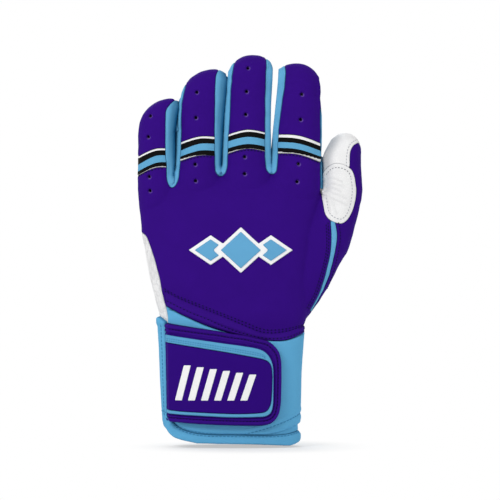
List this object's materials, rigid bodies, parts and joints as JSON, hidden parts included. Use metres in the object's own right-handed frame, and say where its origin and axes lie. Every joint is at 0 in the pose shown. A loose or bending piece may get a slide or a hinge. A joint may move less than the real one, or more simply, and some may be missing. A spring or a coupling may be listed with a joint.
{
  "type": "batting glove",
  "caption": "Left-hand batting glove standing on its cuff, hollow, with light-blue forks, a white leather palm and a wrist strap that peels open.",
  "frame": {"origin": "middle of the bounding box, on the surface that the cuff's hem stands on", "axes": "+Z from cuff to fingertips, -Y out of the back of the hand, +X to the thumb"},
  "size_m": [0.1351, 0.0484, 0.2344],
  "materials": {
    "purple_stretch": "matte knitted stretch fabric",
    "purple_binding": "rolled tape with a stitch line",
    "purple_moulding": "soft matte moulding",
    "blue_moulding": "soft matte moulding",
    "striped_band": "printed band: white, black, light blue, black, white",
    "blue_stretch": "matte knitted stretch fabric",
    "blue_knit": "foam-backed knit",
    "white_leather": "soft grained leather",
    "white_print": "soft matte print",
    "blue_print": "soft matte print",
    "white_elastic": "ribbed elastic",
    "loop_tape": "loop pile",
    "hook_tape": "hook tape"
  },
  "bodies": {
    "glove": {"back_of_hand": "purple_stretch", "finger_back_little": "purple_stretch", "finger_back_ring": "purple_stretch", "finger_back_middle": "purple_stretch", "finger_back_index": "purple_stretch", "knuckle_band_little": "striped_band", "knuckle_band_ring": "striped_band", "knuckle_band_middle": "striped_band", "knuckle_band_index": "striped_band", "fork_little_ring": "blue_stretch", "fork_ring_middle": "blue_stretch", "fork_middle_index": "blue_stretch", "index_side_strip": "blue_stretch", "thumb_back": "purple_stretch", "thumb_patch": "white_leather", "thumb_gusset": "blue_stretch", "thumb_leather": "white_leather", "palm_leather": "white_leather", "heel_patch": "white_leather", "wrist_elastic": "white_elastic", "cuff_sleeve": "blue_knit", "cuff_hem": "blue_knit", "cuff_flap": "blue_knit", "cuff_side_band": "blue_knit", "loop_patch": "loop_tape", "strap_root": "purple_moulding", "hem_binding": "purple_binding", "back_patch": "white_print", "back_patch_inlay_left": "blue_print", "back_patch_inlay_middle": "blue_print", "back_patch_inlay_right": "blue_print"},
    "strap": {"strap_body": "purple_moulding", "strap_binding": "purple_binding", "badge_border": "blue_moulding", "badge_field": "purple_moulding", "strap_hook_patch": "hook_tape"}
  },
  "joints": [
    {"name": "strap_peel", "type": "hinge", "parent": "glove", "child": "strap", "pos_m": [-0.0502, -0.0142, 0.045], "axis": [0, 0, -1], "range_deg": [0, 165]}
  ]
}
